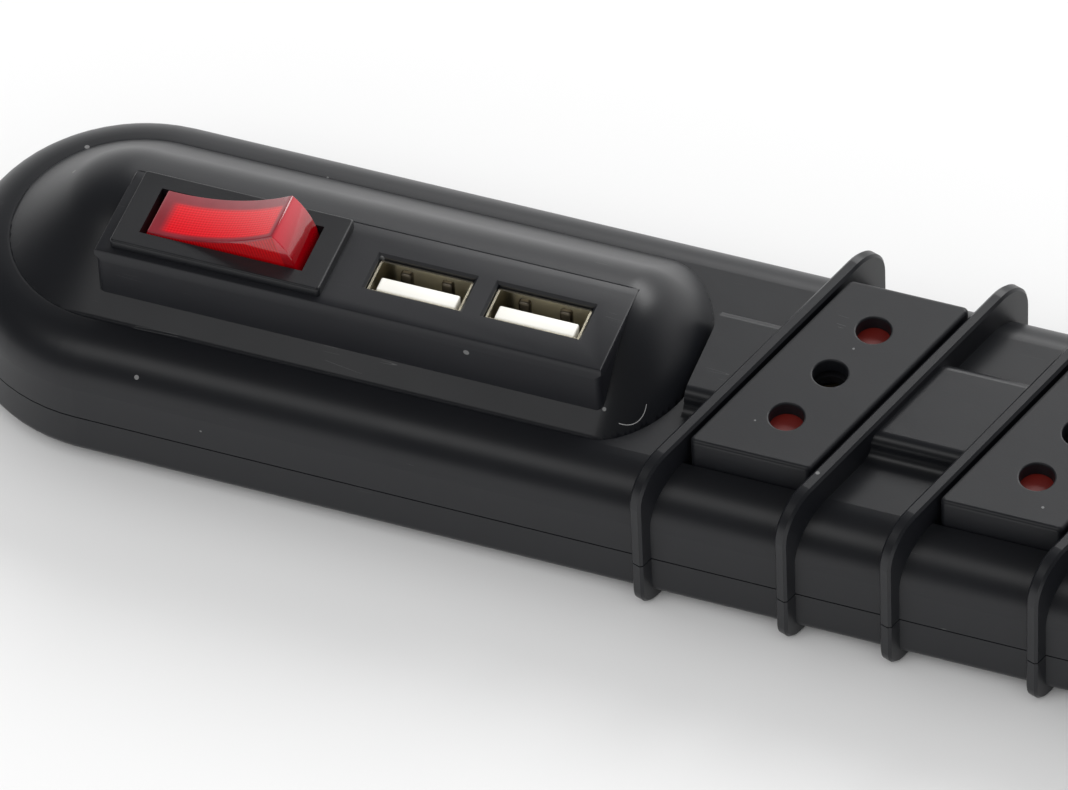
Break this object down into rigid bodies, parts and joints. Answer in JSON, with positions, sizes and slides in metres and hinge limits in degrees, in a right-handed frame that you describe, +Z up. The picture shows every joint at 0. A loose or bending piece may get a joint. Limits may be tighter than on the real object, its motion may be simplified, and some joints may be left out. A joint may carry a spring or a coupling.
{
  "type": "power strip",
  "caption": "Long rounded power strip with slanted three-hole socket faces between raised ribs, a control pod with a lit rocker switch and charging ports.",
  "frame": {"origin": "under the middle of the strip, on the surface that its ribs rest on", "axes": "+X along the strip from the switch end to the far end, +Y across to the back, +Z up"},
  "size_m": [0.27, 0.0516, 0.0379],
  "materials": {
    "housing_plastic": "satin, finely grained",
    "pod_plastic": "satin, finely grained",
    "socket_plastic": "satin, finely grained",
    "switch_plastic": "semi gloss",
    "rocker_red": "translucent gloss",
    "shutter_red": "gloss",
    "retainer_plastic": "matt",
    "spring_steel": "drawn",
    "brass_strip": "rolled",
    "blade_brass": "rolled",
    "lamp_glass": "clear",
    "port_metal": "pale gold plated",
    "tongue_white": "satin",
    "board_green": "satin",
    "transformer_core": "matt",
    "capacitor_can": "satin",
    "wire_brown": "satin",
    "wire_blue": "satin",
    "clamp_plastic": "matt",
    "screw_steel": "zinc plated"
  },
  "bodies": {
    "housing": {"top_cover": "housing_plastic", "bottom_cover": "housing_plastic", "control_cover": "pod_plastic", "live_bus_bar": "brass_strip", "earth_bus_bar": "brass_strip", "neutral_bus_bar": "brass_strip", "switch_housing": "switch_plastic", "switch_blades": "blade_brass", "rocker_pin": "spring_steel", "neon_lamp": "lamp_glass", "port_shell_1": "port_metal", "port_shell_2": "port_metal", "port_tongue_1": "tongue_white", "port_tongue_2": "tongue_white", "charging_board": "board_green", "transformer": "transformer_core", "capacitors": "capacitor_can", "live_wire": "wire_brown", "neutral_wire": "wire_blue", "cover_screws": "screw_steel", "cord_clamp": "clamp_plastic", "clamp_screws": "screw_steel", "socket_face_1": "socket_plastic", "shutter_retainer_1": "retainer_plastic", "shutter_springs_1": "spring_steel", "socket_face_2": "socket_plastic", "shutter_retainer_2": "retainer_plastic", "shutter_springs_2": "spring_steel", "socket_face_3": "socket_plastic", "shutter_retainer_3": "retainer_plastic", "shutter_springs_3": "spring_steel", "socket_face_4": "socket_plastic", "shutter_retainer_4": "retainer_plastic", "shutter_springs_4": "spring_steel"},
    "rocker": {"rocker": "rocker_red"},
    "live_shutter_1": {"live_shutter_1": "shutter_red"},
    "neutral_shutter_1": {"neutral_shutter_1": "shutter_red"},
    "live_shutter_2": {"live_shutter_2": "shutter_red"},
    "neutral_shutter_2": {"neutral_shutter_2": "shutter_red"},
    "live_shutter_3": {"live_shutter_3": "shutter_red"},
    "neutral_shutter_3": {"neutral_shutter_3": "shutter_red"},
    "live_shutter_4": {"live_shutter_4": "shutter_red"},
    "neutral_shutter_4": {"neutral_shutter_4": "shutter_red"}
  },
  "joints": [
    {"name": "rocker_hinge", "type": "hinge", "parent": "housing", "child": "rocker", "pos_m": [-0.09385, -0.00622, 0.0298], "axis": [0, 1, 0], "range_deg": [0, 30]},
    {"name": "live_shutter_1_slide", "type": "slide", "parent": "housing", "child": "live_shutter_1", "axis": [0.3156, 0.9489, 0], "range_m": [0, 0.00475], "stiffness_N_per_m": 100, "springref_m": -0.002, "deforming": ["shutter_springs_1"]},
    {"name": "neutral_shutter_1_slide", "type": "slide", "parent": "housing", "child": "neutral_shutter_1", "axis": [-0.3156, -0.9489, 0], "range_m": [0, 0.00475], "stiffness_N_per_m": 100, "springref_m": -0.002, "deforming": ["shutter_springs_1"]},
    {"name": "live_shutter_2_slide", "type": "slide", "parent": "housing", "child": "live_shutter_2", "axis": [0.3156, 0.9489, 0], "range_m": [0, 0.00475], "stiffness_N_per_m": 100, "springref_m": -0.002, "deforming": ["shutter_springs_2"]},
    {"name": "neutral_shutter_2_slide", "type": "slide", "parent": "housing", "child": "neutral_shutter_2", "axis": [-0.3156, -0.9489, 0], "range_m": [0, 0.00475], "stiffness_N_per_m": 100, "springref_m": -0.002, "deforming": ["shutter_springs_2"]},
    {"name": "live_shutter_3_slide", "type": "slide", "parent": "housing", "child": "live_shutter_3", "axis": [0.3156, 0.9489, 0], "range_m": [0, 0.00475], "stiffness_N_per_m": 100, "springref_m": -0.002, "deforming": ["shutter_springs_3"]},
    {"name": "neutral_shutter_3_slide", "type": "slide", "parent": "housing", "child": "neutral_shutter_3", "axis": [-0.3156, -0.9489, 0], "range_m": [0, 0.00475], "stiffness_N_per_m": 100, "springref_m": -0.002, "deforming": ["shutter_springs_3"]},
    {"name": "live_shutter_4_slide", "type": "slide", "parent": "housing", "child": "live_shutter_4", "axis": [0.3156, 0.9489, 0], "range_m": [0, 0.00475], "stiffness_N_per_m": 100, "springref_m": -0.002, "deforming": ["shutter_springs_4"]},
    {"name": "neutral_shutter_4_slide", "type": "slide", "parent": "housing", "child": "neutral_shutter_4", "axis": [-0.3156, -0.9489, 0], "range_m": [0, 0.00475], "stiffness_N_per_m": 100, "springref_m": -0.002, "deforming": ["shutter_springs_4"]}
  ]
}
